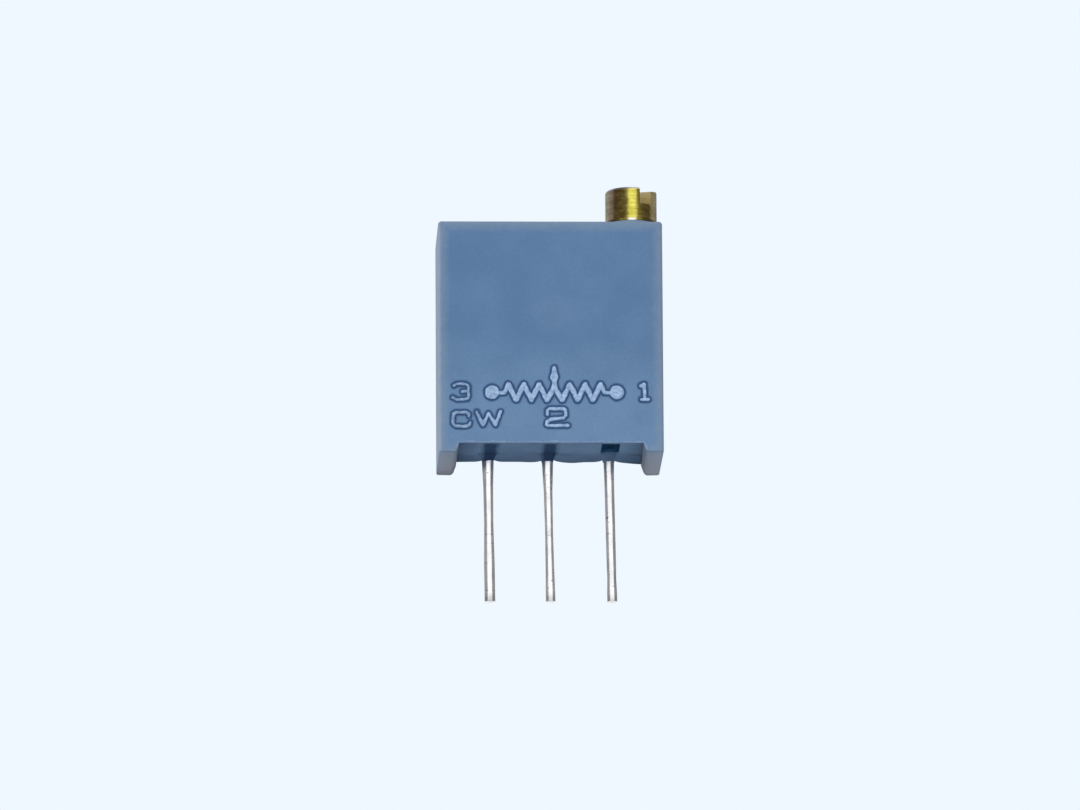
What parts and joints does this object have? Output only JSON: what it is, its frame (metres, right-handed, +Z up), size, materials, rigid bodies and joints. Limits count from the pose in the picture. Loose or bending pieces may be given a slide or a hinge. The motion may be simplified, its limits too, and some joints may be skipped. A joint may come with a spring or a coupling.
{
  "type": "trimmer potentiometer",
  "caption": "Square multi-turn trimmer potentiometer: blue box with a slotted brass screw on top, in-line pins below, and a worm drive to the wiper inside.",
  "frame": {"origin": "on the middle pin's axis, at the height of the feet's lower faces, which is the board's upper face", "axes": "+X along the row of pins towards terminal 1 and the screw, -Y out of the front face with the symbol, +Z up from the board, along the screw"},
  "size_m": [0.0096, 0.0049, 0.0175],
  "materials": {
    "blue_moulding": "fine moulded, slightly glossy",
    "brass": "turned, bright",
    "seal_rubber": "smooth",
    "spring_steel": "stamped",
    "ivory_nylon": "moulded",
    "contact_alloy": "stamped",
    "alumina": "fired, unglazed",
    "cermet": "fired print",
    "silver_film": "fired print",
    "tinned_wire": "bright tin plate",
    "solder": "flowed",
    "grey_epoxy": "poured, with a slight meniscus"
  },
  "bodies": {
    "base": {"housing": "blue_moulding", "retaining_clip": "spring_steel", "substrate": "alumina", "resistive_track": "cermet", "conductor_1": "silver_film", "conductor_2": "silver_film", "conductor_3": "silver_film", "terminal_1": "tinned_wire", "terminal_2": "tinned_wire", "terminal_3": "tinned_wire", "solder_1": "solder", "solder_2": "solder", "solder_3": "solder", "potting": "grey_epoxy"},
    "screw": {"adjustment_screw": "brass", "o_ring": "seal_rubber"},
    "wheel": {"worm_wheel": "ivory_nylon", "wiper": "contact_alloy"}
  },
  "joints": [
    {"name": "screw_turn", "type": "hinge", "parent": "base", "child": "screw", "pos_m": [0.00349, -0.00114, 0], "axis": [0, 0, 1], "range_deg": [-4500, 4500]},
    {"name": "wheel_turn", "type": "hinge", "parent": "base", "child": "wheel", "pos_m": [-0.00032, -0.00114, 0.0047], "axis": [0, 1, 0], "range_deg": [-140.62, 140.62]}
  ],
  "couplings": [
    {"joint": "wheel_turn", "follows": "screw_turn", "ratio": 0.03125}
  ]
}
